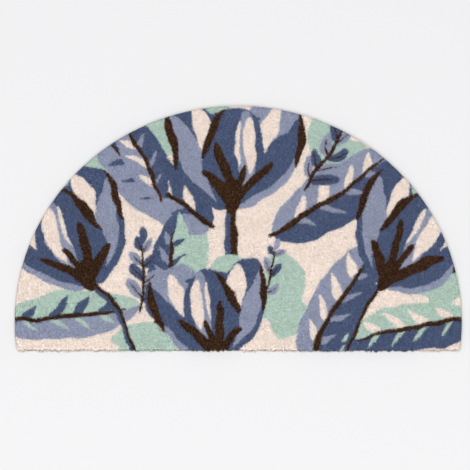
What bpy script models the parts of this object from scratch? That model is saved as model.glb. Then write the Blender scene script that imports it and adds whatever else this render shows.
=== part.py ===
"""Half-round doormat: one die-cut piece of upright coir pile, lying flat with its straight edge at low Y.

Metres, +Z up. The origin is the middle of the outline's box, on the underside.
"""

import math
import random
from collections import namedtuple

import bmesh
import bpy
from mathutils import Vector, kdtree

# Driving dimensions
WIDTH = 0.700
DEPTH = 0.400
THICKNESS = 0.015
BASE_THICKNESS = 0.002

# How far the pile leans out past the base it is rooted in, at its widest
ARC_LEAN = 0.0010
CUT_EDGE_LEAN = 0.0034

# Tufts along the straight edge, which is cut across the pile and frays
NARROWEST_TUFT = 0.0032
WIDEST_TUFT = 0.0150
NARROW_TUFTS_BIAS = 2.2
SHORTEST_TUFT = 0.40
DEEPEST_NOTCH = -0.05
SHALLOWEST_NOTCH = 0.40
TUFT_SEED = 11

# The base's outline follows from the sizes above
ARC_RADIUS = WIDTH / 2 - ARC_LEAN
ARC_CENTRE = Vector((0, DEPTH / 2 - WIDTH / 2, 0))
ARC_STEPS = 132
CUT_Y = CUT_EDGE_LEAN - DEPTH / 2
ANGLE_BELOW_CENTRE = math.asin((ARC_CENTRE.y - CUT_Y) / ARC_RADIUS)

# Rings of the pile from the base up: the share of the lean reached there, and the rim's rounding
PileRing = namedtuple("PileRing", "height reach inset")
PILE_RINGS = (
    PileRing(height=0.0050, reach=0.35, inset=0),
    PileRing(height=0.0090, reach=0.78, inset=0),
    PileRing(height=0.0122, reach=1.00, inset=0),
    PileRing(height=0.0142, reach=0.85, inset=0.0005),
    PileRing(height=THICKNESS, reach=0.55, inset=0.0015),
)

# A tuft's rounded plan between two notches: the place along it, and the share of its lean
TuftPoint = namedtuple("TuftPoint", "along lean")
TUFT_PLAN = (
    TuftPoint(along=0.20, lean=0.80),
    TuftPoint(along=0.50, lean=1.00),
    TuftPoint(along=0.80, lean=0.76),
)

# A place on the base's outline: which way is out, and how far the pile leans that way
RimPoint = namedtuple("RimPoint", "place outward lean")

# Mean colour of the printed pile, and the edges that stay sharp in its shading
PILE_COLOUR = (0.205, 0.200, 0.225, 1.0)
PILE_ROUGHNESS = 0.92
SHARP_ANGLE = math.radians(28)


def round_edge():
    """The arc, anticlockwise from the right-hand corner to just before the left-hand one."""
    sweep = math.pi + 2 * ANGLE_BELOW_CENTRE
    rim = []
    for step in range(ARC_STEPS):
        angle = sweep * step / ARC_STEPS - ANGLE_BELOW_CENTRE
        outward = Vector((math.cos(angle), math.sin(angle), 0))
        rim.append(RimPoint(ARC_CENTRE + ARC_RADIUS * outward, outward, ARC_LEAN))
    return rim


def tuft_widths(rng, length):
    """Uneven tuft widths that fill the length."""
    widths = []
    while sum(widths) < length:
        share = rng.random() ** NARROW_TUFTS_BIAS
        widths.append(NARROWEST_TUFT + (WIDEST_TUFT - NARROWEST_TUFT) * share)
    fit = length / sum(widths)
    return [width * fit for width in widths]


def straight_edge():
    """The frayed cut edge, from the left-hand corner to just before the right-hand one."""
    rng = random.Random(TUFT_SEED)
    corner_x = ARC_RADIUS * math.cos(ANGLE_BELOW_CENTRE)
    widths = tuft_widths(rng, 2 * corner_x)
    shares = [rng.uniform(SHORTEST_TUFT, 1) for _ in widths]
    outward = Vector((0, -1, 0))
    rim = []
    x = -corner_x
    for width, share in zip(widths, shares):
        lean = CUT_EDGE_LEAN * share / max(shares)
        notch = lean * rng.uniform(DEEPEST_NOTCH, SHALLOWEST_NOTCH)
        rim.append(RimPoint(Vector((x, CUT_Y, 0)), outward, notch))
        for point in TUFT_PLAN:
            place = Vector((x + width * point.along, CUT_Y, 0))
            rim.append(RimPoint(place, outward, lean * point.lean))
        x += width
    return rim


def base_sheet(rim):
    """The flat base that the pile is rooted in: the filled outline, with its thickness."""
    curve = bpy.data.curves.new("base_outline", "CURVE")
    curve.dimensions = "2D"
    curve.fill_mode = "BOTH"
    curve.extrude = BASE_THICKNESS / 2
    spline = curve.splines.new("POLY")
    spline.points.add(len(rim) - 1)
    for point, rim_point in zip(spline.points, rim):
        point.co = (*rim_point.place, 1)
    spline.use_cyclic_u = True
    sheet = bpy.data.objects.new("base_outline", curve)
    sheet.location.z = BASE_THICKNESS / 2
    bpy.context.scene.collection.objects.link(sheet)
    graph = bpy.context.evaluated_depsgraph_get()
    mesh = bpy.data.meshes.new_from_object(sheet.evaluated_get(graph))
    mesh.transform(sheet.matrix_world)
    bpy.data.objects.remove(sheet)
    bpy.data.curves.remove(curve)
    return mesh


def one_face(bm, height):
    """Joins the fill's many faces at this height into one."""
    fill = [face for face in bm.faces if all(abs(v.co.z - height) < 1e-5 for v in face.verts)]
    return bmesh.ops.dissolve_faces(bm, faces=fill)["region"][0]


def mark_rim_points(bm, rim):
    """Notes on each corner of the base which point of the rim it stands at."""
    tree = kdtree.KDTree(len(rim))
    for index, rim_point in enumerate(rim):
        tree.insert(rim_point.place, index)
    tree.balance()
    mark = bm.verts.layers.int.new("rim_point")
    for vert in bm.verts:
        vert[mark] = tree.find((vert.co.x, vert.co.y, 0))[1]
    return mark


def raise_pile(bm, top, mark, rim):
    """Grows the pile from the base's top face, ring by ring, leaning out and then rounding in."""
    for ring in PILE_RINGS:
        region = [top, *top.edges, *top.verts]
        grown = bmesh.ops.extrude_face_region(bm, geom=region)["geom"]
        top = next(item for item in grown if isinstance(item, bmesh.types.BMFace))
        for vert in top.verts:
            place, outward, lean = rim[vert[mark]]
            vert.co = place + outward * (lean * ring.reach - ring.inset)
            vert.co.z = ring.height


def coir_mat():
    """The whole mat as one closed body."""
    rim = round_edge() + straight_edge()
    mesh = base_sheet(rim)
    mesh.name = "coir_mat"
    bm = bmesh.new()
    bm.from_mesh(mesh)
    bmesh.ops.remove_doubles(bm, verts=bm.verts, dist=1e-5)
    mark = mark_rim_points(bm, rim)
    one_face(bm, 0)
    raise_pile(bm, one_face(bm, BASE_THICKNESS), mark, rim)
    bm.verts.layers.int.remove(mark)
    bmesh.ops.recalc_face_normals(bm, faces=bm.faces)
    bmesh.ops.triangulate(bm, faces=bm.faces)
    bm.to_mesh(mesh)
    bm.free()
    mesh.shade_smooth()
    mesh.set_sharp_from_angle(angle=SHARP_ANGLE)
    return bpy.data.objects.new("coir_mat", mesh)


def printed_pile():
    """Matt printed coir, in the mean of its colours."""
    material = bpy.data.materials.new("printed_pile")
    material.use_nodes = True
    shader = material.node_tree.nodes["Principled BSDF"]
    shader.inputs["Base Color"].default_value = PILE_COLOUR
    shader.inputs["Roughness"].default_value = PILE_ROUGHNESS
    shader.inputs["Metallic"].default_value = 0
    return material


def main():
    """Builds the mat in a collection named for it."""
    for obj in list(bpy.data.objects):
        bpy.data.objects.remove(obj)
    collection = bpy.data.collections.new("half_round_doormat")
    bpy.context.scene.collection.children.link(collection)
    mat = coir_mat()
    mat.data.materials.append(printed_pile())
    collection.objects.link(mat)


main()
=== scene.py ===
"""Looks of the half-round doormat: printed coir pile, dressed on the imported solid.

Metres, +Z up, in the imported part's frame. Only the print is drawn in millimetres.
"""
from __future__ import annotations

import logging
import math
from collections.abc import Iterable
from dataclasses import asdict, dataclass, replace
from enum import Enum
from typing import NamedTuple, Protocol

import bmesh
import bpy
import numpy as np
from bpy.types import ID, Material, Mesh, Node, NodeSocket, NodeTree, Object
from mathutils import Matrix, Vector, geometry, noise


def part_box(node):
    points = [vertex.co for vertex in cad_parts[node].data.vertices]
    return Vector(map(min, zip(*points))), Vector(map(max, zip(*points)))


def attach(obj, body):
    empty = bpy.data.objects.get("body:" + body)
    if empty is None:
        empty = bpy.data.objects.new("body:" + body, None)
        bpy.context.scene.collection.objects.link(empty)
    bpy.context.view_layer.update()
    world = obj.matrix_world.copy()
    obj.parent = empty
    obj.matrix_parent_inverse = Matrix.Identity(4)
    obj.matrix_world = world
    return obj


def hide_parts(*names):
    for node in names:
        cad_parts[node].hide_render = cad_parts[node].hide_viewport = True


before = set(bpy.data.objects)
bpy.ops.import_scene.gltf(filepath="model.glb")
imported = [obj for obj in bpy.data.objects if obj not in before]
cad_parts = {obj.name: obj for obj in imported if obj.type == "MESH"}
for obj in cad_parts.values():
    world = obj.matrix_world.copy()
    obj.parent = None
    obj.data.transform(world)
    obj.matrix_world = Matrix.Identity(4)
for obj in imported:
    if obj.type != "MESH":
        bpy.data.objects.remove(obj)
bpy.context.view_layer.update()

LOG = logging.getLogger("doormat")

SOLID = "coir_mat"
BODY = "root"
MILLIMETRE = 0.001
TINY = 1e-6
WELD_GAP = 1e-5
CROSSING_GAP = 1e-7
INSIDE_ONLY = 1
LOOKS_DOWN = -0.9
AREA_SLICES = 2000
PAST_THE_MAT = 1.0

Rows = np.ndarray
Colour = tuple[float, float, float]
Inputs = dict[str | int, object]


class Ink(Enum):
    """The print's colours on single fibres, in sRGB from 0 to 255. Light caught in the pile deepens them."""

    CREAM = (230, 219, 211)
    SLATE = (83, 98, 131)
    HAZE = (155, 161, 182)
    MINT = (183, 202, 192)
    BROWN = (71, 41, 16)

    def linear(self) -> Rows:
        """The colour as linear red, green and blue from 0 to 1."""
        return linear_colour(self.value)


def linear_colour(srgb: Colour) -> Rows:
    """Turns red, green and blue from 0 to 255 into linear ones from 0 to 1, by the sRGB curve."""
    share = np.array(srgb, float) / 255
    return np.where(share <= 0.04045, share / 12.92, ((share + 0.055) / 1.055) ** 2.4)


class Shape(Protocol):
    """A flat shape on the mat."""

    spot: Spot

    def covers(self, x: Rows, y: Rows) -> Rows:
        """Says which of the points lie in the shape."""


class Mark(NamedTuple):
    """One shape of the print and its ink."""

    ink: Ink
    shape: Shape


@dataclass(frozen=True)
class Spot:
    """A place on the mat with a heading and a size, in millimetres and degrees from +X."""

    x: float
    y: float
    heading: float
    size: float

    def part(self, along: float, across: float, turn: float, size: float) -> Spot:
        """Finds a place measured from this one.

        Args:
            along: Share of the size to go forward.
            across: Share of the size to go left.
            turn: Degrees to turn left.
            size: The new size as a share of this one.

        Returns:
            The new spot.
        """
        turned = math.radians(self.heading)
        ahead, left = along * self.size, across * self.size
        x = self.x + ahead * math.cos(turned) - left * math.sin(turned)
        y = self.y + ahead * math.sin(turned) + left * math.cos(turned)
        return Spot(x, y, self.heading + turn, self.size * size)

    def local(self, x: Rows, y: Rows) -> tuple[Rows, Rows]:
        """Measures points from this spot.

        Args:
            x: The points' places along X.
            y: The points' places along Y.

        Returns:
            How far each point is ahead and to the left, as shares of the size.
        """
        turned = math.radians(self.heading)
        east, north = x - self.x, y - self.y
        ahead = east * math.cos(turned) + north * math.sin(turned)
        left = north * math.cos(turned) - east * math.sin(turned)
        return ahead / self.size, left / self.size


@dataclass(frozen=True)
class Stroke:
    """A petal, leaf or brush mark that swells and tapers along a bent middle line.

    Widths are shares of the length. It is widest at the belly, and a lower point rounds its tip. A side of 1
    or -1 keeps only the left or right half, and a rim keeps only a line of that width along the edge.
    """

    spot: Spot
    width: float
    bend: float = 0.0
    belly: float = 0.5
    point: float = 0.6
    side: int = 0
    rim: float = 0.0
    start: float = 0.0
    end: float = 1.0

    def covers(self, x: Rows, y: Rows) -> Rows:
        """Says which points lie in the stroke.

        Args:
            x: The points' places along X.
            y: The points' places along Y.

        Returns:
            True for each point inside.
        """
        along, left = self.spot.local(x, y)
        left = left - self.bend * along**2
        share = np.clip(along, TINY, 1 - TINY)
        rise = self.point * self.belly / (1 - self.belly)
        peak = self.belly**rise * (1 - self.belly) ** self.point
        half = self.width / 2 * share**rise * (1 - share) ** self.point / peak
        inside = (along > self.start) & (along < self.end) & (np.abs(left) < half)
        if self.side:
            inside &= left * self.side > 0
        if self.rim:
            span = np.clip((along - self.start) / (self.end - self.start), 0, 1)
            inside &= np.abs(left) > half - self.rim * np.sqrt(np.sin(np.pi * span).clip(0, 1))
        return inside


@dataclass(frozen=True)
class Blot:
    """A soft-edged patch: an oval with an uneven rim."""

    spot: Spot
    stretch: float
    seed: int
    waves: tuple[tuple[int, float], ...] = ((2, 0.12), (3, 0.13), (5, 0.07), (8, 0.03))

    def covers(self, x: Rows, y: Rows) -> Rows:
        """Says which points lie in the blot.

        Args:
            x: The points' places along X.
            y: The points' places along Y.

        Returns:
            True for each point inside.
        """
        rng = np.random.default_rng(self.seed)
        along, left = self.spot.local(x, y)
        along = along / self.stretch
        around = np.arctan2(left, along)
        rim = np.ones_like(along)
        for count, depth in self.waves:
            rim += depth * np.cos(count * around + rng.uniform(0, 2 * math.pi))
        return np.hypot(along, left) < rim


def lean_at(bend: float, along: float) -> float:
    """Works out how many degrees a line of that bend has turned at that share of its length."""
    return math.degrees(math.atan(2 * bend * along))


@dataclass(frozen=True)
class Tulip:
    """A tulip seen from the side: back petals, curling side petals and one in front, with dark strokes.

    The petals on its lit side are paler. Its heart lists the turn, length and width of each stroke there.
    """

    spot: Spot
    lit: int
    seed: int
    heart: tuple[tuple[float, float, float], ...] = (
        (-34, 0.37, 0.088),
        (-12, 0.57, 0.078),
        (9, 0.44, 0.068),
        (29, 0.50, 0.086),
    )

    def marks(self) -> list[Mark]:
        """Draws the flower from back to front.

        Returns:
            Its marks, in the order in which they are printed.
        """
        rng = np.random.default_rng(self.seed)
        marks = []
        for side in (1, -1):
            marks += self.back_petal(side, rng)
        for side in (1, -1):
            marks += self.side_petal(side, rng)
        return marks + self.front_petal(rng) + self.foot(rng)

    def back_petal(self, side: int, rng: np.random.Generator) -> list[Mark]:
        """Draws a petal that shows between the others.

        Args:
            side: 1 for the left petal, -1 for the right one.
            rng: Source of the small differences between flowers.

        Returns:
            Its marks.
        """
        petal = self.spot.part(0.10, side * 0.05, side * rng.uniform(11, 15), rng.uniform(0.87, 0.93))
        tone = Ink.HAZE if side == self.lit else Ink.MINT
        fold = petal.part(0.30, 0.01 * side, side * 2, 0.55)
        blade = Stroke(petal, width=0.40, bend=side * 0.02, belly=0.62, point=0.38)
        return [
            Mark(tone, blade),
            Mark(Ink.SLATE, replace(blade, side=-side, end=0.80)),
            Mark(Ink.BROWN, Stroke(fold, width=0.050, bend=side * 0.05, belly=0.42, point=0.40)),
        ]

    def side_petal(self, side: int, rng: np.random.Generator) -> list[Mark]:
        """Draws a petal that curls outwards.

        Args:
            side: 1 for the left petal, -1 for the right one.
            rng: Source of the small differences between flowers.

        Returns:
            Its marks.
        """
        petal = self.spot.part(0, 0, side * rng.uniform(34, 38), rng.uniform(0.97, 1.03))
        bend = -side * rng.uniform(0.14, 0.18)
        tone, shade = (Ink.HAZE, Ink.SLATE) if side == self.lit else (Ink.SLATE, Ink.HAZE)
        hollow = petal.part(0.10, side * 0.04, side * 4, 0.82)
        gleam = petal.part(0.34, -side * 0.095, -side * 6, 0.58)
        rim, start = rng.uniform(0.075, 0.095), rng.uniform(0.50, 0.60)
        blade = Stroke(petal, width=0.46, bend=bend, belly=0.54, point=0.42)
        return [
            Mark(tone, blade),
            Mark(shade, Stroke(hollow, width=0.24, bend=bend, point=0.5)),
            Mark(Ink.CREAM, Stroke(gleam, width=0.27, bend=bend * 1.1, belly=0.6, point=0.55)),
            Mark(Ink.BROWN, replace(blade, width=0.48, side=side, rim=rim, start=start, end=0.985)),
        ]

    def front_petal(self, rng: np.random.Generator) -> list[Mark]:
        """Draws the petal in front, pale on its lit side and outlined on the other.

        Args:
            rng: Source of the small differences between flowers.

        Returns:
            Its marks.
        """
        petal, lit = self.spot.part(0, 0, rng.uniform(-2, 2), 0.86), self.lit
        glow = petal.part(0.12, lit * 0.10, lit * 3, 0.86)
        wide_gleam = petal.part(0.34, lit * 0.15, lit * 2, 0.57)
        thin_gleam = petal.part(0.44, lit * 0.02, 0, 0.42)
        blade = Stroke(petal, width=0.60, belly=0.52, point=0.40)
        return [
            Mark(Ink.SLATE, blade),
            Mark(Ink.HAZE, Stroke(glow, width=0.24, bend=-lit * 0.08, belly=0.55, point=0.42)),
            Mark(Ink.CREAM, Stroke(wide_gleam, width=0.25, bend=-lit * 0.10, belly=0.6, point=0.5)),
            Mark(Ink.CREAM, Stroke(thin_gleam, width=0.12, bend=-lit * 0.06, belly=0.55)),
            Mark(Ink.BROWN, replace(blade, width=0.62, side=-lit, rim=0.085, start=0.46, end=0.985)),
        ]

    def foot(self, rng: np.random.Generator) -> list[Mark]:
        """Draws the dark strokes that fan up from the flower's foot.

        Args:
            rng: Source of the small differences between flowers.

        Returns:
            Its marks.
        """
        cup = self.spot.part(-0.07, 0, 0, 0.30)
        strokes = [Stroke(cup, width=0.48, belly=0.48, point=0.7)]
        for turn, length, width in self.heart:
            length *= rng.uniform(0.9, 1.1)
            turn = (turn + rng.uniform(-2, 2)) * self.lit
            ray = self.spot.part(-0.01, 0, turn, length)
            strokes.append(Stroke(ray, width=width / length, bend=0.004 * turn, point=0.36))
        return [Mark(Ink.BROWN, stroke) for stroke in strokes]


@dataclass(frozen=True)
class Leaf:
    """A broad leaf in two tones, with veins and a dark midrib."""

    spot: Spot
    width: float
    bend: float
    tone: Ink
    shade: Ink
    vein: Ink = Ink.CREAM
    lit: int = 1
    vein_places: tuple[float, ...] = (0.16, 0.34, 0.52, 0.70)
    vein_slant: float = 36

    def marks(self) -> list[Mark]:
        """Draws the blade, its veins and its midrib.

        Returns:
            Its marks, in the order in which they are printed.
        """
        blade = Stroke(self.spot, self.width, self.bend, belly=0.45)
        marks = [Mark(self.tone, blade), Mark(self.shade, replace(blade, side=self.lit))]
        for along in self.vein_places:
            marks += self.veins(along)
        rib = self.spot.part(-0.03, 0, 0, 0.92)
        return marks + [Mark(Ink.BROWN, Stroke(rib, width=0.040, bend=self.bend, belly=0.30, point=0.42))]

    def veins(self, along: float) -> list[Mark]:
        """Draws a pair of veins.

        Args:
            along: The share of the leaf's length at which they leave the midrib.

        Returns:
            Its marks.
        """
        lean = lean_at(self.bend, along)
        reach = self.width * (0.60 - 0.55 * abs(along - 0.4))
        left, slant = self.bend * along**2, self.lit * self.vein_slant
        over = self.spot.part(along, left, lean + slant, reach)
        under = self.spot.part(along, left, lean - slant, reach * 0.85)
        pale = Stroke(over, width=0.060 / reach, bend=0.10 * self.lit, belly=0.35, point=0.8)
        dark = Stroke(under, width=0.045 / reach, bend=-0.12 * self.lit, belly=0.25, point=0.9)
        return [Mark(self.vein, pale), Mark(self.shade, dark)]


@dataclass(frozen=True)
class Sprig:
    """A thin dark stem with small leaflets in pairs and one at its tip."""

    spot: Spot
    bend: float
    pairs: int
    inks: tuple[Ink, ...]
    seed: int

    def marks(self) -> list[Mark]:
        """Draws the leaflets and then the stem over them.

        Returns:
            Its marks, in the order in which they are printed.
        """
        rng = np.random.default_rng(self.seed)
        marks = []
        for pair in range(self.pairs):
            along = (pair + 0.8) / (self.pairs + 0.4)
            for side in (1, -1):
                ink = self.inks[(pair + (side > 0)) % len(self.inks)]
                marks += self.leaflet(along, side, ink, rng)
        tip = self.spot.part(0.97, self.bend * 0.94, lean_at(self.bend, 1), 0.26)
        last = Stroke(tip, width=0.42, belly=0.55, point=0.5)
        stalk = Stroke(self.spot, width=0.045, bend=self.bend, belly=0.3, point=0.5)
        return marks + [Mark(self.inks[0], last), Mark(Ink.BROWN, stalk)]

    def leaflet(self, along: float, side: int, ink: Ink, rng: np.random.Generator) -> list[Mark]:
        """Draws one leaflet with its rib.

        Args:
            along: The share of the stem's length at which it grows.
            side: 1 for the left of the stem, -1 for the right.
            ink: Its colour.
            rng: Source of the small differences between leaflets.

        Returns:
            Its marks.
        """
        turn = lean_at(self.bend, along) + side * (52 - 14 * along) + rng.uniform(-5, 5)
        size = 0.34 - 0.12 * along + rng.uniform(-0.02, 0.02)
        spot = self.spot.part(along + 0.02 * side, self.bend * along**2, turn, size)
        blade = Stroke(spot, width=0.46, bend=-0.12 * side, belly=0.55, point=0.5)
        return [Mark(ink, blade), Mark(Ink.BROWN, replace(blade, width=0.07, belly=0.2, point=0.9, end=0.8))]


@dataclass(frozen=True)
class Stem:
    """A flower's stem, dark along one side."""

    spot: Spot
    bend: float
    width: float = 0.085

    def marks(self) -> list[Mark]:
        """Draws the stem and then its shaded half."""
        whole = Stroke(self.spot, self.width, self.bend, belly=0.4, point=0.2)
        return [Mark(Ink.SLATE, whole), Mark(Ink.BROWN, replace(whole, side=1))]


@dataclass(frozen=True)
class Ripple:
    """A gentle unevenness that hand-cut printing screens give to edges."""

    size: float
    wavelength: float
    seed: int
    waves: int = 5
    spread: tuple[float, float] = (0.75, 1.35)

    def shift(self, x: Rows, y: Rows) -> Rows:
        """Sums a few crossed waves.

        Args:
            x: The points' places along X.
            y: The points' places along Y.

        Returns:
            How far each point shifts, in millimetres.
        """
        rng = np.random.default_rng(self.seed)
        total = np.zeros_like(x)
        for _ in range(self.waves):
            heading, turn = rng.uniform(0, 2 * math.pi, 2)
            pitch = 2 * math.pi / (self.wavelength * rng.uniform(*self.spread))
            total += np.sin((x * math.cos(heading) + y * math.sin(heading)) * pitch + turn)
        return self.size * total / math.sqrt(self.waves)


@dataclass(frozen=True)
class FloralPrint:
    """The whole print: pale blots, then leaves and sprigs, then stems and four tulips, on a cream ground."""

    blots: tuple[Blot, ...] = (
        Blot(Spot(-246, 74, 60, 40), 1.5, 1),
        Blot(Spot(-118, 148, 35, 32), 1.8, 2),
        Blot(Spot(70, -115, 100, 40), 1.5, 3),
        Blot(Spot(166, 116, -50, 40), 1.6, 4),
        Blot(Spot(-88, -44, 60, 42), 1.6, 5),
        Blot(Spot(318, -84, 70, 36), 1.5, 6),
        Blot(Spot(-140, -190, 0, 34), 1.9, 7),
        Blot(Spot(196, -188, 0, 30), 1.9, 8),
    )
    plants: tuple[Leaf | Sprig | Stem | Tulip, ...] = (
        Leaf(Spot(-40, 4, 148, 240), 0.40, -0.13, Ink.HAZE, Ink.SLATE, lit=-1),
        Leaf(Spot(56, -8, 28, 245), 0.38, 0.12, Ink.SLATE, Ink.HAZE),
        Leaf(Spot(-372, -150, 2, 220), 0.36, 0.06, Ink.HAZE, Ink.MINT, vein=Ink.SLATE),
        Leaf(Spot(110, -224, 70, 225), 0.38, -0.15, Ink.SLATE, Ink.HAZE),
        Leaf(Spot(372, -150, 184, 215), 0.36, 0.10, Ink.SLATE, Ink.MINT, lit=-1),
        Leaf(Spot(-128, -150, 72, 175), 0.38, 0.12, Ink.MINT, Ink.SLATE, vein=Ink.HAZE),
        Leaf(Spot(-122, 44, 108, 175), 0.36, 0.10, Ink.SLATE, Ink.HAZE),
        Sprig(Spot(104, 60, 50, 128), 0.20, 5, (Ink.SLATE, Ink.HAZE), 8),
        Sprig(Spot(-152, -140, 82, 118), 0.12, 4, (Ink.SLATE, Ink.HAZE), 13),
        Sprig(Spot(36, -124, 66, 92), 0.12, 3, (Ink.HAZE, Ink.SLATE), 21),
        Stem(Spot(-8, 40, -96, 200), 0.16),
        Stem(Spot(-225, -88, -50, 140), -0.22),
        Stem(Spot(225, -88, -128, 140), 0.20),
        Tulip(Spot(-228, -92, 116, 190), 1, 1),
        Tulip(Spot(-8, 34, 88, 190), -1, 2),
        Tulip(Spot(228, -92, 60, 190), -1, 3),
        Tulip(Spot(-30, -212, 100, 165), 1, 14),
    )
    east_ripples: tuple[Ripple, ...] = (Ripple(3.0, 90, 1), Ripple(1.0, 30, 5))
    north_ripples: tuple[Ripple, ...] = (Ripple(3.0, 90, 2), Ripple(1.0, 30, 6))
    reach: float = 1.3

    def marks(self) -> list[Mark]:
        """Lists every mark, in the order in which they are printed."""
        grown = [mark for plant in self.plants for mark in plant.marks()]
        return [Mark(Ink.MINT, blot) for blot in self.blots] + grown

    def inks_at(self, places: Rows) -> Rows:
        """Finds the ink at each place.

        Args:
            places: Points on the mat, in metres, a row for each.

        Returns:
            For each place the index of its ink in Ink.
        """
        x, y = places[:, 0] / MILLIMETRE, places[:, 1] / MILLIMETRE
        east = x + sum(ripple.shift(x, y) for ripple in self.east_ripples)
        north = y + sum(ripple.shift(x, y) for ripple in self.north_ripples)
        order = {ink: index for index, ink in enumerate(Ink)}
        found = np.full(len(places), order[Ink.CREAM])
        for ink, shape in self.marks():
            spot = shape.spot
            reach = self.reach * spot.size * getattr(shape, "stretch", 1.0)
            near = np.flatnonzero((np.abs(east - spot.x) < reach) & (np.abs(north - spot.y) < reach))
            covered = near[shape.covers(east[near], north[near])]
            found[covered] = order[ink]
        return found

    def colours_at(self, places: Rows) -> Rows:
        """Finds the linear colour at each place, a row of red, green, blue and 1 for each."""
        table = np.array([[*ink.linear(), 1.0] for ink in Ink])
        return table[self.inks_at(places)]


class Draw(Enum):
    """The seeds of each tuft's random draws."""

    TONE = 7
    SINK = 11
    LEAN = 13
    SPIN = 17
    WIDTH = 19
    SHAPE = 23


@dataclass
class NodeBench:
    """Adds nodes to one tree and wires them."""

    tree: NodeTree

    def take(self, name: str, kind: str, default: object = None) -> None:
        """Gives the tree a named input.

        Args:
            name: The input's name.
            kind: Its socket type, such as Float or Color.
            default: Its value where nothing else is set.
        """
        socket = self.tree.interface.new_socket(name, in_out="INPUT", socket_type="NodeSocket" + kind)
        if default is not None:
            socket.default_value = default

    def give(self, name: str, kind: str) -> None:
        """Gives the tree a named output of that socket type."""
        self.tree.interface.new_socket(name, in_out="OUTPUT", socket_type="NodeSocket" + kind)

    def add(self, kind: str, inputs: Inputs | None = None, **settings: object) -> Node:
        """Adds a node.

        Args:
            kind: The node's type.
            inputs: What goes in each input, by its name or number: a socket to join to it, or a value.
            settings: The node's own properties.

        Returns:
            The node.
        """
        node = self.tree.nodes.new(kind)
        for name, value in settings.items():
            setattr(node, name, value)
        self.fill(node, inputs or {})
        return node

    def fill(self, node: Node, inputs: Inputs) -> None:
        """Fills a node's inputs.

        Args:
            node: The node.
            inputs: What goes in each input, as for a new node.
        """
        for key, value in inputs.items():
            socket = node.inputs[key] if isinstance(key, int) else shown(node.inputs, key)
            if isinstance(value, NodeSocket):
                self.tree.links.new(value, socket)
            else:
                socket.default_value = value

    def out(self, kind: str, inputs: Inputs | None = None, **settings: object) -> NodeSocket:
        """Adds a node and returns its first output that is in use."""
        return shown(self.add(kind, inputs, **settings).outputs)

    def math(self, operation: str, *values: object, clamp: bool = False) -> NodeSocket:
        """Adds a Math node and returns its result."""
        return self.out("ShaderNodeMath", dict(enumerate(values)), operation=operation, use_clamp=clamp)

    def centred(self, value: NodeSocket) -> NodeSocket:
        """Adds a node that measures a value from 0 to 1 from its middle, and returns the result."""
        return self.math("SUBTRACT", value, 0.5)

    def vector(self, operation: str, *values: object) -> NodeSocket:
        """Adds a Vector Math node and returns its result."""
        return self.out("ShaderNodeVectorMath", dict(enumerate(values)), operation=operation)

    def scaled(self, vector: object, scale: object) -> NodeSocket:
        """Adds a node that scales a vector and returns the result."""
        return self.out("ShaderNodeVectorMath", {0: vector, "Scale": scale}, operation="SCALE")

    def random(self, draw: Draw, low: object, high: object, kind: str = "FLOAT") -> NodeSocket:
        """Adds a node that draws a value for each point and returns the value."""
        inputs = {"Min": low, "Max": high, "Seed": draw.value}
        return self.out("FunctionNodeRandomValue", inputs, data_type=kind)

    def noise(self, place: NodeSocket, scale: float, detail: float, name: str | None = None) -> NodeSocket:
        """Adds a noise texture and returns its strength, or its output of that name."""
        inputs = {"Vector": place, "Scale": scale, "Detail": detail}
        return shown(self.add("ShaderNodeTexNoise", inputs).outputs, name)

    def stored(self, points: NodeSocket, name: str, kind: str, value: NodeSocket) -> NodeSocket:
        """Adds a node that stores a value of that kind on each point and returns the points with it."""
        inputs = {"Geometry": points, "Name": name, "Value": value}
        return self.out("GeometryNodeStoreNamedAttribute", inputs, data_type=kind, domain="POINT")


def shown(sockets: Iterable[NodeSocket], name: str | None = None) -> NodeSocket:
    """Picks a node's first input or output that is in use, or the first of that name."""
    return next(socket for socket in sockets if socket.enabled and name in (None, socket.name))


FIBRE_SCALE = 850.0
CLOUD_SCALE = 22.0
CLOUD_RANGE = 0.05
BARE_SLOPE = 5.0
DARK_SPREAD = -0.56
LEAST_ROUGHNESS = 0.87
ROUGHNESS_RANGE = 0.10


def coir_grain() -> NodeTree:
    """Builds the group that turns an ink into the colour of single fibres, some with less ink than others.

    Dark inks vary by a larger share of their colour than pale ones do.

    Returns:
        The group, which puts out a colour and a roughness.
    """
    tree = bpy.data.node_groups.new("coir_grain", "ShaderNodeTree")
    bench = NodeBench(tree)
    bench.take("Ink", "Color")
    bench.take("Natural", "Color")
    bench.take("Tone", "Float", 0.5)
    for name in ("Tone Range", "Fibre Range", "Bare Share"):
        bench.take(name, "Float")
    bench.give("Color", "Color")
    bench.give("Roughness", "Float")
    given = tree.nodes.new("NodeGroupInput").outputs
    place = bench.add("ShaderNodeTexCoord").outputs["Object"]
    fibre = bench.noise(place, FIBRE_SCALE, detail=1.0)
    cloud = bench.noise(place, CLOUD_SCALE, detail=2.0)
    bare = bench.math("MULTIPLY", bench.math("POWER", given["Tone"], BARE_SLOPE), given["Bare Share"])
    mixed = {"Factor": bare, "A": given["Ink"], "B": given["Natural"]}
    inked = bench.out("ShaderNodeMix", mixed, data_type="RGBA")
    tone = bench.math("MULTIPLY", bench.centred(given["Tone"]), given["Tone Range"])
    grain = bench.math("MULTIPLY_ADD", bench.centred(fibre), given["Fibre Range"], tone)
    spread = bench.math("POWER", bench.out("ShaderNodeRGBToBW", {0: inked}), DARK_SPREAD)
    grain = bench.math("MAXIMUM", bench.math("MULTIPLY_ADD", grain, spread, 1.0), 0.0)
    light = bench.math("MULTIPLY_ADD", bench.centred(cloud), CLOUD_RANGE, grain)
    roughness = bench.math("MULTIPLY_ADD", fibre, ROUGHNESS_RANGE, LEAST_ROUGHNESS, clamp=True)
    bench.add("NodeGroupOutput", {"Color": bench.scaled(inked, light), "Roughness": roughness})
    return tree


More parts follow.
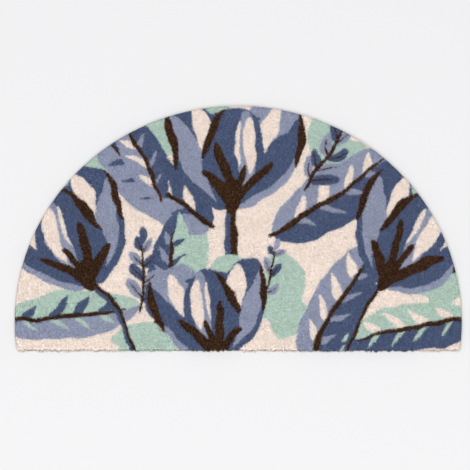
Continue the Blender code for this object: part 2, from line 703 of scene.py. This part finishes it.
def grained(bench: NodeBench, inputs: Inputs) -> Inputs:
    """Places the grain group in a material.

    Args:
        bench: The material's bench.
        inputs: What goes in the group.

    Returns:
        The group's outputs, by the names of the shader's inputs that take them.
    """
    tree = bpy.data.node_groups.get("coir_grain") or coir_grain()
    made = bench.add("ShaderNodeGroup", inputs, node_tree=tree).outputs
    return {"Base Color": made["Color"], "Roughness": made["Roughness"]}


def new_material(name: str) -> tuple[Material, NodeBench, Node]:
    """Starts a material.

    Args:
        name: Its name.

    Returns:
        The material, a bench for its tree, and its shader.
    """
    material = bpy.data.materials.new(name)
    material.use_nodes = True
    return material, NodeBench(material.node_tree), material.node_tree.nodes["Principled BSDF"]


@dataclass(frozen=True)
class PrintedCoir:
    """Bleached coir pile with ink in its top: dry, matt and a little uneven."""

    name: str = "printed_coir_pile"
    natural: Colour = (236, 224, 210)
    tone_range: float = 0.275
    fibre_range: float = 0.22
    bare_share: float = 0.035
    ink_from: float = 0.002
    ink_to: float = 0.0085
    least_ink: float = 0.25
    specular: float = 0.2

    def material(self) -> Material:
        """Builds the material, which reads the ink and tone that each tuft carries.

        Returns:
            The material.
        """
        material, bench, shader = new_material(self.name)
        natural = (*linear_colour(self.natural), 1.0)
        ink = bench.add("ShaderNodeAttribute", attribute_name="ink").outputs["Color"]
        place = bench.add("ShaderNodeTexCoord").outputs["Object"]
        height = bench.add("ShaderNodeSeparateXYZ", {0: place}).outputs["Z"]
        ends = {"From Min": self.ink_from, "From Max": self.ink_to, "To Min": self.least_ink}
        depth = bench.out("ShaderNodeMapRange", {"Value": height, **ends}, interpolation_type="SMOOTHSTEP")
        values = {
            "Ink": bench.out("ShaderNodeMix", {"Factor": depth, "A": natural, "B": ink}, data_type="RGBA"),
            "Tone": bench.add("ShaderNodeAttribute", attribute_name="tone").outputs["Fac"],
            "Tone Range": self.tone_range,
            "Fibre Range": self.fibre_range,
            "Natural": natural,
            "Bare Share": self.bare_share,
        }
        bench.fill(shader, {**grained(bench, values), "Specular IOR Level": self.specular})
        return material


@dataclass(frozen=True)
class Underside:
    """Plain matt backing that holds the fibres' roots."""

    name: str = "coir_backing"
    colour: Colour = (196, 188, 176)
    fibre_range: float = 0.16
    pebble_scale: float = 420.0
    pebble_height: float = 0.0004
    pebble_strength: float = 0.25

    def material(self) -> Material:
        """Builds the material with a fine mottle and a slight pebble.

        Returns:
            The material.
        """
        material, bench, shader = new_material(self.name)
        colour = (*linear_colour(self.colour), 1.0)
        place = bench.add("ShaderNodeTexCoord").outputs["Object"]
        pebble = bench.out("ShaderNodeTexVoronoi", {"Vector": place, "Scale": self.pebble_scale})
        bumps = {"Height": pebble, "Strength": self.pebble_strength, "Distance": self.pebble_height}
        grain = grained(bench, {"Ink": colour, "Natural": colour, "Fibre Range": self.fibre_range})
        bench.fill(shader, {**grain, "Normal": bench.out("ShaderNodeBump", bumps)})
        return material


TUFT_INPUTS = (
    "Spacing", "Width", "Blunt Width", "Length", "Lean", "Nap", "Splay", "Sunk", "Proud", "Blunt Share",
    "Clearance", "From Y", "To Y", "From Z", "Ragged", "Steady", "Radius", "Centre Y", "Cut Y",
)
SIDES = 3
VERTICES = SIDES + 1
CANDIDATES = 4.0
WIDTH_RANGE = (0.7, 1.3)
NAP_SCALE = 28.0
RAGGED_SCALE = 170.0
RAGGED_BAND = 0.005
RAGGED_MIDDLE = 0.80
STEADY_BAND = 0.006


class TuftTree:
    """The tree that scatters tufts of fibre over a surface.

    Each tuft's tip lies on the surface and its foot hangs below. Every point of it carries the place of
    the tip as root, and a random tone.
    """

    def __init__(self) -> None:
        """Names the tree's inputs and wires its nodes."""
        self.tree = bpy.data.node_groups.new("tufts", "GeometryNodeTree")
        self.bench = NodeBench(self.tree)
        self.bench.take("Geometry", "Geometry")
        self.bench.give("Geometry", "Geometry")
        for name in TUFT_INPUTS:
            self.bench.take(name, "Float")
        self.bench.take("Seed", "Int")
        self.bench.take("Material", "Material")
        self.given = self.tree.nodes.new("NodeGroupInput").outputs
        self.place = self.bench.out("GeometryNodeInputPosition")
        self.split = self.bench.add("ShaderNodeSeparateXYZ", {0: self.place}).outputs
        self.from_cut = self.bench.math("SUBTRACT", self.split["Y"], self.given["Cut Y"])
        real = self.bench.out("GeometryNodeRealizeInstances", {"Geometry": self.tufts()})
        coated = {"Geometry": real, "Material": self.given["Material"]}
        done = self.bench.out("GeometryNodeSetMaterial", coated)
        self.bench.add("NodeGroupOutput", {"Geometry": done})

    def tufts(self) -> NodeSocket:
        """Adds the nodes that stand a tuft of either shape on each point.

        Returns:
            The tufts as instances.
        """
        bench, given = self.bench, self.given
        points, normal = self.scatter()
        room = bench.math("SUBTRACT", self.split["Z"], given["Clearance"])
        height = bench.math("MINIMUM", bench.math("DIVIDE", room, given["Length"]), 1.0)
        width = bench.random(Draw.WIDTH, *WIDTH_RANGE)
        blunt = bench.math("LESS_THAN", bench.random(Draw.SHAPE, 0.0, 1.0), given["Blunt Share"])
        shapes = bench.add("GeometryNodeJoinGeometry")
        for pointed in (False, True):
            self.tree.links.new(self.shape(pointed), shapes.inputs[0])
        inputs = {
            "Points": points,
            "Instance": shapes.outputs[0],
            "Pick Instance": True,
            "Instance Index": blunt,
            "Rotation": self.heading(normal),
            "Scale": bench.out("ShaderNodeCombineXYZ", {"X": width, "Y": width, "Z": height}),
        }
        return bench.out("GeometryNodeInstanceOnPoints", inputs)

    def scatter(self) -> tuple[NodeSocket, NodeSocket]:
        """Adds the nodes that scatter the tufts' tips over the wanted stretch of the surface.

        Returns:
            The points, and the surface's normal at each.
        """
        bench, given, split = self.bench, self.given, self.split
        square = bench.math("MULTIPLY", given["Spacing"], given["Spacing"])
        inputs = {
            "Mesh": given["Geometry"],
            "Distance Min": given["Spacing"],
            "Density Max": bench.math("DIVIDE", CANDIDATES, square),
            "Seed": given["Seed"],
        }
        made = bench.add("GeometryNodeDistributePointsOnFaces", inputs, distribute_method="POISSON").outputs
        above = bench.math("GREATER_THAN", split["Y"], given["From Y"])
        below = bench.math("LESS_THAN", split["Y"], given["To Y"])
        high = bench.math("GREATER_THAN", split["Z"], given["From Z"])
        wanted = bench.math("MULTIPLY", bench.math("MULTIPLY", above, below), high)
        points = bench.out("GeometryNodeSeparateGeometry", {"Geometry": made["Points"], "Selection": wanted})
        points = bench.stored(points, "root", "FLOAT_VECTOR", self.place)
        points = bench.stored(points, "tone", "FLOAT", bench.random(Draw.TONE, 0.0, 1.0))
        sink = bench.random(Draw.SINK, bench.math("MULTIPLY", given["Sunk"], -1.0), given["Proud"])
        for offset in (bench.scaled(made["Normal"], sink), self.fray()):
            points = bench.out("GeometryNodeSetPosition", {"Geometry": points, "Offset": offset})
        return points, made["Normal"]

    def near(self, inside: NodeSocket, band: float) -> NodeSocket:
        """Adds the nodes for a share that falls from 1 at an edge to 0 at a band's width inside it."""
        return self.bench.math("SUBTRACT", 1.0, self.bench.math("DIVIDE", inside, band), clamp=True)

    def fray(self) -> NodeSocket:
        """Adds the nodes that push tufts in and out along the cut edge, as its blade left them.

        Returns:
            How far each tuft moves.
        """
        bench = self.bench
        nibble = bench.math("SUBTRACT", bench.noise(self.place, RAGGED_SCALE, detail=2.0), RAGGED_MIDDLE)
        push = bench.math("MULTIPLY", nibble, self.given["Ragged"])
        kept = bench.math("MULTIPLY", push, self.near(self.from_cut, RAGGED_BAND))
        return bench.out("ShaderNodeCombineXYZ", {"Y": kept})

    def sway(self) -> NodeSocket:
        """Adds the nodes that steady the tufts near the rim, so that their feet stay inside the wall.

        Returns:
            The share of its lean that each tuft keeps.
        """
        bench, given, split = self.bench, self.given, self.split
        north = bench.math("SUBTRACT", split["Y"], given["Centre Y"])
        square = bench.math("MULTIPLY_ADD", split["X"], split["X"], bench.math("MULTIPLY", north, north))
        from_arc = bench.math("SUBTRACT", given["Radius"], bench.math("SQRT", square))
        near = self.near(bench.math("MINIMUM", from_arc, self.from_cut), STEADY_BAND)
        return bench.math("SUBTRACT", 1.0, bench.math("MULTIPLY", near, given["Steady"]))

    def heading(self, normal: NodeSocket) -> NodeSocket:
        """Adds the nodes that turn each tuft: upright, splayed, leaning with its neighbours and at random.

        Args:
            normal: The surface's normal at each point.

        Returns:
            The rotation of each tuft.
        """
        bench, given, sway = self.bench, self.given, self.sway()
        drift = bench.noise(self.place, NAP_SCALE, detail=1.0, name="Color")
        drift = bench.vector("SUBTRACT", drift, (0.5, 0.5, 0.5))
        wild = bench.random(Draw.LEAN, (-1.0, -1.0, -1.0), (1.0, 1.0, 1.0), "FLOAT_VECTOR")
        heading = bench.vector("ADD", bench.scaled(normal, given["Splay"]), (0.0, 0.0, 1.0))
        for push in (bench.scaled(drift, given["Nap"]), bench.scaled(wild, given["Lean"])):
            heading = bench.vector("ADD", heading, bench.scaled(push, sway))
        spin = bench.out("ShaderNodeCombineXYZ", {"Z": bench.random(Draw.SPIN, 0.0, 2 * math.pi)})
        turned = {"Rotation": bench.out("FunctionNodeEulerToRotation", {0: spin}), "Vector": heading}
        return bench.out("FunctionNodeAlignRotationToVector", turned, axis="Z")

    def shape(self, pointed: bool) -> NodeSocket:
        """Adds the nodes of one tuft, with its top at the origin.

        Args:
            pointed: True for a tuft that tapers upwards, False for one cut off level.

        Returns:
            The tuft as an instance.
        """
        bench, length = self.bench, self.given["Length"]
        radius = bench.math("MULTIPLY", self.given["Width" if pointed else "Blunt Width"], 0.5)
        top, bottom = (0.0, radius) if pointed else (radius, 0.0)
        inputs = {"Vertices": SIDES, "Depth": length, "Radius Top": top, "Radius Bottom": bottom}
        cone = bench.out("GeometryNodeMeshCone", inputs, fill_type="NGON")
        drop = bench.out("ShaderNodeCombineXYZ", {"Z": bench.math("MULTIPLY", length, -1.0)})
        hung = bench.out("GeometryNodeTransform", {"Geometry": cone, "Translation": drop})
        return bench.out("GeometryNodeGeometryToInstance", {0: hung})


@dataclass(frozen=True)
class TuftPlan:
    """How the tufts of one stretch of pile stand, in metres and shares."""

    spacing: float
    width: float
    blunt_width: float
    length: float
    lean: float
    nap: float
    splay: float
    sunk: float
    proud: float
    blunt_share: float
    seed: int
    from_z: float = 0.0
    ragged: float = 0.0048
    steady: float = 0.0
    clearance: float = 0.0003

    def grow(self, name: str, emitter: Object, tree: NodeTree, setting: Inputs) -> Object:
        """Grows tufts on a surface and keeps them as a plain mesh.

        Args:
            name: The new piece's name.
            emitter: The surface.
            tree: The tree that scatters tufts.
            setting: The tree's inputs that aren't in the plan.

        Returns:
            The piece.
        """
        values = {key.replace("_", " ").title(): value for key, value in asdict(self).items()} | setting
        modifier = emitter.modifiers.new("tufts", "NODES")
        modifier.node_group = tree
        for item in tree.interface.items_tree:
            if item.in_out == "INPUT" and item.name in values:
                modifier[item.identifier] = values[item.name]
        graph = bpy.context.evaluated_depsgraph_get()
        mesh = bpy.data.meshes.new_from_object(emitter.evaluated_get(graph))
        emitter.modifiers.remove(modifier)
        return placed(name, mesh)


def placed(name: str, data: ID) -> Object:
    """Puts a mesh, lamp or camera in the scene as an object.

    Args:
        name: The object's name.
        data: What it shows.

    Returns:
        The object.
    """
    data.name = name
    made = bpy.data.objects.new(name, data)
    bpy.context.scene.collection.objects.link(made)
    return made


def corners_of(mesh: Mesh) -> Rows:
    """Reads the vertex of every face corner."""
    found = np.zeros(len(mesh.loops), np.int32)
    mesh.loops.foreach_get("vertex_index", found)
    return found


def vectors_of(items: bpy.types.bpy_prop_collection, name: str) -> Rows:
    """Reads a vector that each of the items has, a row for each."""
    found = np.zeros(len(items) * 3, np.float32)
    items.foreach_get(name, found)
    return found.reshape(-1, 3)


def places_of(mesh: Mesh) -> Rows:
    """Reads the place of every vertex, a row for each."""
    return vectors_of(mesh.vertices, "co")


def plain_mesh(bm: bmesh.types.BMesh, name: str) -> Mesh:
    """Writes an edit mesh to a mesh of that name and frees it."""
    mesh = bpy.data.meshes.new(name)
    bm.to_mesh(mesh)
    bm.free()
    return mesh


def write_ink(mesh: Mesh, colours: Rows) -> None:
    """Writes the ink of each vertex, from a row of four numbers for each."""
    layer = mesh.attributes.new("ink", "FLOAT_COLOR", "POINT")
    layer.data.foreach_set("color", colours.astype(np.float32).ravel())


def write_map(mesh: Mesh, flat: Rows) -> None:
    """Writes the piece's own texture map, from two numbers for each face corner."""
    layer = mesh.uv_layers.new(name="OFBake")
    layer.data.foreach_set("uv", flat.astype(np.float32).ravel())


@dataclass(frozen=True)
class TuftMap:
    """Lays each tuft out as a small star of its own, so that no two share a place on the map.

    The stretch of pile is cut into rows of like length, which are stacked in the square.
    """

    star: float
    base_share: float = 0.12

    def write(self, mesh: Mesh, along: Rows, across: Rows) -> None:
        """Writes the map.

        Args:
            mesh: A mesh of tufts.
            along: Each tuft's place along the stretch.
            across: Each tuft's place across it.
        """
        corners = corners_of(mesh).reshape(-1, VERTICES, SIDES) % VERTICES
        apex = self.apexes(mesh)[:, None, None]
        turn = np.radians(90 + 360 / SIDES * (corners - (corners > apex)))
        rays = np.stack([np.cos(turn), np.sin(turn)], -1)
        rays[np.broadcast_to(corners == apex, corners.shape)] = 0
        base, top = (corners != apex).all(-1), np.array([0, 1])
        rays[base] = top + self.base_share * (rays[base] - top)
        length, depth = np.ptp(along), np.ptp(across)
        rows = max(1, round(math.sqrt(length / depth)))
        stretch = length / rows
        row = np.clip((along - along.min()) // stretch, 0, rows - 1)
        u = along - along.min() - row * stretch
        centres = np.stack([u, across - across.min()], -1)[:, None, None]
        room = np.array([stretch, depth]) + 2 * self.star
        flat = (centres + self.star * (1 + rays)) / room
        flat[..., 1] = (flat[..., 1] + row[:, None, None]) / rows
        write_map(mesh, flat)

    @staticmethod
    def apexes(mesh: Mesh) -> Rows:
        """Finds which of its vertices each tuft tapers to: the one farthest from its middle."""
        tufts = places_of(mesh).reshape(-1, VERTICES, 3)
        return np.linalg.norm(tufts - tufts.mean(1, keepdims=True), axis=-1).argmax(1)


class CadSurface:
    """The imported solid's surface as one merged mesh, from which the dressed pieces take their shape."""

    def __init__(self, node: Object, cut_band: float = 0.0045) -> None:
        """Copies the node's triangles and joins them.

        Args:
            node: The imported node.
            cut_band: How far in from the straight edge's outermost point its frayed wall may reach.
        """
        self.bm = bmesh.new()
        self.bm.from_mesh(node.data)
        bmesh.ops.remove_doubles(self.bm, verts=self.bm.verts, dist=WELD_GAP)
        self.bm.normal_update()
        self.low, self.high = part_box(node.name)
        self.radius = (self.high.x - self.low.x) / 2
        self.centre = Vector(((self.high.x + self.low.x) / 2, self.high.y - self.radius, 0))
        self.seam_y = self.low.y + cut_band

    def outward(self, place: Vector) -> Vector:
        """Finds the level direction out of the mat: off the cut edge, or away from the arc's centre."""
        if place.y < self.seam_y:
            return Vector((0, -1, 0))
        return ((place - self.centre) * Vector((1, 1, 0))).normalized()

    def area(self) -> float:
        """Works out the area of the outline: the half round and the strip below its centre."""
        strip = self.centre.y - self.low.y
        half_chord = math.sqrt(self.radius**2 - strip**2)
        return self.radius**2 * (math.pi / 2 + math.asin(strip / self.radius)) + strip * half_chord

    def round_places(self, places: Rows) -> Rows:
        """Measures how far round the arc each place is from the middle of the back."""
        return self.radius * np.arctan2(places[:, 0] - self.centre.x, places[:, 1] - self.centre.y)

    def surface(self, name: str, least: float, most: float) -> Object:
        """Takes the faces that look up by some amount.

        Args:
            name: The new object's name.
            least: Lowest upward part of a face's normal.
            most: Highest upward part.

        Returns:
            The surface, as an object of its own.
        """
        part = self.bm.copy()
        part.normal_update()
        others = [face for face in part.faces if not least <= face.normal.z <= most]
        bmesh.ops.delete(part, geom=others, context="FACES")
        return placed(name, plain_mesh(part, name))


@dataclass(frozen=True)
class PileBed:
    """The dense lower pile and its flat base: the solid drawn in a little, with a fine lumpy top."""

    cad: CadSurface
    design: FloralPrint
    name: str = "mat_base"
    height: float = 0.0103
    inset: float = 0.0012
    grid: float = 0.0030
    shake: float = 0.2
    lump: float = 0.0005
    lump_scale: float = 140.0
    # Painted shade: a low fixed tone makes the slab's top and wall, which show only between and below the
    # tufts, darker than the average tuft
    tone: float = 0.1
    seed: int = 5

    def build(self, pile: Material, underside: Material) -> Object:
        """Builds the slab and dresses it.

        Args:
            pile: Material of its top and wall.
            underside: Material of its flat base.

        Returns:
            The piece.
        """
        mesh = self.slab()
        for finish in (pile, underside):
            mesh.materials.append(finish)
        for polygon in mesh.polygons:
            polygon.material_index = int(polygon.normal.z < LOOKS_DOWN)
        write_ink(mesh, self.design.colours_at(places_of(mesh)))
        # The low tone here darkens the slab where it shows between the tufts, as painted shade
        tone = mesh.attributes.new("tone", "FLOAT", "POINT")
        tone.data.foreach_set("value", np.full(len(mesh.vertices), self.tone, np.float32))
        self.unfold(mesh)
        return placed(self.name, mesh)

    def slab(self) -> Mesh:
        """Cuts the solid off at the slab's height, draws its wall in and fills it with a fine top.

        Returns:
            The closed mesh.
        """
        bm = self.cad.bm.copy()
        above = [face for face in bm.faces if min(vert.co.z for vert in face.verts) > self.height]
        bmesh.ops.delete(bm, geom=above, context="FACES")
        for vert in bm.verts:
            vert.co -= self.cad.outward(vert.co) * self.inset
            vert.co.z = min(vert.co.z, self.height)
        rim = self.open_rim(bm)
        count = len(rim)
        flat = [vert.co.to_2d() for vert in rim] + self.inner_points()
        edges = [(index, (index + 1) % count) for index in range(count)]
        filled = geometry.delaunay_2d_cdt(flat, edges, [], INSIDE_ONLY, CROSSING_GAP)
        verts, _, faces, origins, *_ = filled
        top = []
        for (x, y), origin in zip(verts, origins):
            first = min(origin, default=count)
            height = self.height + self.lump * noise.noise(Vector((x, y, 0)) * self.lump_scale)
            top.append(rim[first] if first < count else bm.verts.new((x, y, height)))
        for face in faces:
            bm.faces.new([top[index] for index in face])
        bmesh.ops.recalc_face_normals(bm, faces=bm.faces)
        return plain_mesh(bm, self.name)

    @staticmethod
    def open_rim(bm: bmesh.types.BMesh) -> list[bmesh.types.BMVert]:
        """Walks round the mesh's open edge.

        Args:
            bm: The mesh, with one opening.

        Returns:
            The vertices round it, in order.
        """
        beside: dict[bmesh.types.BMVert, list[bmesh.types.BMVert]] = {}
        for edge in bm.edges:
            if edge.is_boundary:
                for vert in edge.verts:
                    beside.setdefault(vert, []).append(edge.other_vert(vert))
        start = next(iter(beside))
        walk, vert = [start], beside[start][0]
        while vert is not start:
            last = walk[-1]
            walk.append(vert)
            vert = next(other for other in beside[vert] if other is not last)
        return walk

    def inner_points(self) -> list[Vector]:
        """Lays an even, slightly shaken grid inside the outline.

        Returns:
            The grid's points.
        """
        rng, cad = np.random.default_rng(self.seed), self.cad
        rows = []
        for index, y in enumerate(np.arange(cad.low.y, cad.high.y, self.grid * math.sqrt(0.75))):
            xs = np.arange(cad.low.x + self.grid * (index % 2) / 2, cad.high.x, self.grid)
            rows.append(np.column_stack([xs, np.full_like(xs, y)]))
        cloud = np.concatenate(rows)
        cloud += rng.uniform(-self.shake, self.shake, cloud.shape) * self.grid
        margin = self.inset + self.grid / 2
        inside = np.hypot(*(cloud - np.array(cad.centre.to_2d())).T) < cad.radius - margin
        inside &= cloud[:, 1] > cad.low.y + margin
        return [Vector(point) for point in cloud[inside]]

    def unfold(self, mesh: Mesh) -> None:
        """Writes the slab's map: the top from above, its wall folded out round it, the underside beside it.

        Args:
            mesh: The slab.
        """
        cad, places, corners = self.cad, places_of(mesh), corners_of(mesh)
        under = np.repeat(vectors_of(mesh.polygons, "normal")[:, 2] < LOOKS_DOWN, 3)
        out = np.array([cad.outward(Vector(map(float, place)))[:2] for place in places])
        drop = np.clip(self.height - places[:, 2:], 0, None)
        drop[places[:, 2] > self.height - 2 * self.lump] = 0
        flat = places[corners, :2].copy()
        flat[~under] += (out * drop)[corners][~under]
        flat -= np.array([cad.low.x, cad.low.y]) - self.height
        flat[under, 0] *= -1
        width = cad.high.x - cad.low.x + 2 * self.height
        depth = cad.high.y - cad.low.y + 2 * self.height
        flat[under] += np.array([width, depth])
        write_map(mesh, flat / (2 * depth))


@dataclass(frozen=True)
class Pile:
    """The tufts of the whole mat: its top in strips of like area, its round rim and its frayed cut edge."""

    cad: CadSurface
    design: FloralPrint
    top: TuftPlan = TuftPlan(
        spacing=0.00076,
        width=0.0015,
        blunt_width=0.0007,
        length=0.0050,
        lean=0.42,
        nap=0.5,
        splay=0.0,
        sunk=0.0007,
        proud=0.0002,
        blunt_share=0.45,
        seed=3,
        steady=0.75,
    )
    round_rim: TuftPlan = TuftPlan(
        spacing=0.0009,
        width=0.0012,
        blunt_width=0.0006,
        length=0.0075,
        lean=0.10,
        nap=0.2,
        splay=0.10,
        sunk=0.0004,
        proud=0.0003,
        blunt_share=0.1,
        seed=4,
        from_z=0.0022,
    )
    cut_rim: TuftPlan = replace(
        round_rim, length=0.0080, lean=0.16, nap=0.3, splay=0.34, proud=0.0005, seed=6, from_z=0.0036
    )
    strips: int = 5
    steepest_top: float = 0.5
    star_share: float = 0.45

    def build(self, finish: Material) -> list[Object]:
        """Grows every stretch of tufts.

        Args:
            finish: The tufts' material.

        Returns:
            The pieces.
        """
        cad, tree, limits = self.cad, TuftTree().tree, self.strip_limits()
        up = cad.surface("pile_top", self.steepest_top, 1.0)
        wall = cad.surface("pile_wall", -self.steepest_top, self.steepest_top)
        setting = {"Material": finish, "Radius": cad.radius, "Centre Y": cad.centre.y, "Cut Y": cad.low.y}
        bands = enumerate(zip(limits, limits[1:]), 1)
        stretches = [(f"pile_{number}", self.top, up, band) for number, band in bands]
        stretches.append(("rim_cut", self.cut_rim, wall, (-PAST_THE_MAT, cad.seam_y)))
        stretches.append(("rim_round", self.round_rim, wall, (cad.seam_y, PAST_THE_MAT)))
        pieces = []
        for name, plan, emitter, (start, end) in stretches:
            piece = plan.grow(name, emitter, tree, {"From Y": start, "To Y": end, **setting})
            tips = self.dress(piece)
            along = cad.round_places(tips) if plan is self.round_rim else tips[:, 0]
            across = tips[:, 1] if plan is self.top else tips[:, 2]
            TuftMap(self.star_share * plan.spacing).write(piece.data, along, across)
            pieces.append(piece)
        for helper in (up, wall):
            bpy.data.objects.remove(helper)
        return pieces

    def dress(self, piece: Object) -> Rows:
        """Prints each tuft in the ink of the place where its tip stands.

        Args:
            piece: A stretch of tufts.

        Returns:
            The tufts' tips, a row for each.
        """
        mesh = piece.data
        roots = mesh.attributes["root"]
        tips = vectors_of(roots.data, "vector").reshape(-1, VERTICES, 3)[:, 0]
        mesh.attributes.remove(roots)
        write_ink(mesh, np.repeat(self.design.colours_at(tips), VERTICES, axis=0))
        return tips

    def strip_limits(self) -> list[float]:
        """Cuts the half round into strips of like area across its depth.

        Returns:
            The Y at which each strip begins, and the last one's end.
        """
        cad = self.cad
        y = np.linspace(cad.low.y, cad.high.y, AREA_SLICES)
        area = np.cumsum(np.sqrt(np.clip(cad.radius**2 - (y - cad.centre.y) ** 2, 0, None)))
        limits = np.interp(np.linspace(0, area[-1], self.strips + 1), area, y)
        return [-PAST_THE_MAT, *limits[1:-1], PAST_THE_MAT]


@dataclass(frozen=True)
class Studio:
    """Plain pale floor, even light and the photo's camera."""

    floor_colour: Colour = (0.462, 0.462, 0.468)
    floor_size: float = 30.0
    world_light: float = 0.6
    lamp_size: float = 6.0
    lamp_place: tuple[float, float, float] = (-0.3, -2.5, 8.8)
    lamp_power: float = 1290.0
    elevation: float = 74.53
    distance: float = 12.0
    frame_width: float = 0.73785
    aim: tuple[float, float, float] = (-0.005, -0.0127, 0.015)

    def build(self) -> None:
        """Lays the floor and sets the light and the camera."""
        self.lay_floor()
        self.set_light()
        self.set_camera()

    def lay_floor(self) -> None:
        """Makes the pale floor under the mat."""
        bm = bmesh.new()
        bmesh.ops.create_grid(bm, x_segments=1, y_segments=1, size=self.floor_size / 2)
        mesh = plain_mesh(bm, "floor")
        material, bench, shader = new_material("pale_floor")
        colour = (*self.floor_colour, 1.0)
        bench.fill(shader, {"Base Color": colour, "Roughness": 1.0, "Specular IOR Level": 0.0})
        mesh.materials.append(material)
        placed("floor", mesh)

    def set_light(self) -> None:
        """Sets an even room light and a large soft lamp overhead."""
        world = bpy.data.worlds.new("studio")
        world.use_nodes = True
        light = {"Color": (1.0, 1.0, 1.0, 1.0), "Strength": self.world_light}
        NodeBench(world.node_tree).fill(world.node_tree.nodes["Background"], light)
        bpy.context.scene.world = world
        lamp = bpy.data.lights.new("overhead", "AREA")
        lamp.shape = "DISK"
        lamp.size = self.lamp_size
        lamp.energy = self.lamp_power
        overhead = placed("overhead", lamp)
        overhead.location = self.lamp_place
        overhead.rotation_euler = (-overhead.location).to_track_quat("-Z", "Y").to_euler()
        bpy.context.scene.view_settings.view_transform = "Standard"

    def set_camera(self) -> None:
        """Stands the camera where the photo was taken, with a long lens."""
        data = bpy.data.cameras.new("camera")
        data.lens = data.sensor_width * self.distance / self.frame_width
        camera = placed("camera", data)
        up = math.radians(self.elevation)
        away = Vector((0, -math.cos(up), math.sin(up)))
        camera.location = Vector(self.aim) + away * self.distance
        camera.rotation_euler = (-away).to_track_quat("-Z", "Y").to_euler()
        bpy.context.scene.camera = camera


def main() -> None:
    """Builds the mat's pieces and the studio round them."""
    logging.basicConfig(level=logging.INFO, format="%(name)s: %(message)s")
    cad = CadSurface(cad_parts[SOLID])
    design = FloralPrint()
    coir = PrintedCoir().material()
    bed = PileBed(cad, design).build(coir, Underside().material())
    pile = Pile(cad, design).build(coir)
    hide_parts(SOLID)
    for piece in [bed, *pile]:
        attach(piece, BODY)
        LOG.info("%s: %d faces", piece.name, len(piece.data.polygons))
    Studio().build()


if __name__ == "__main__":
    main()
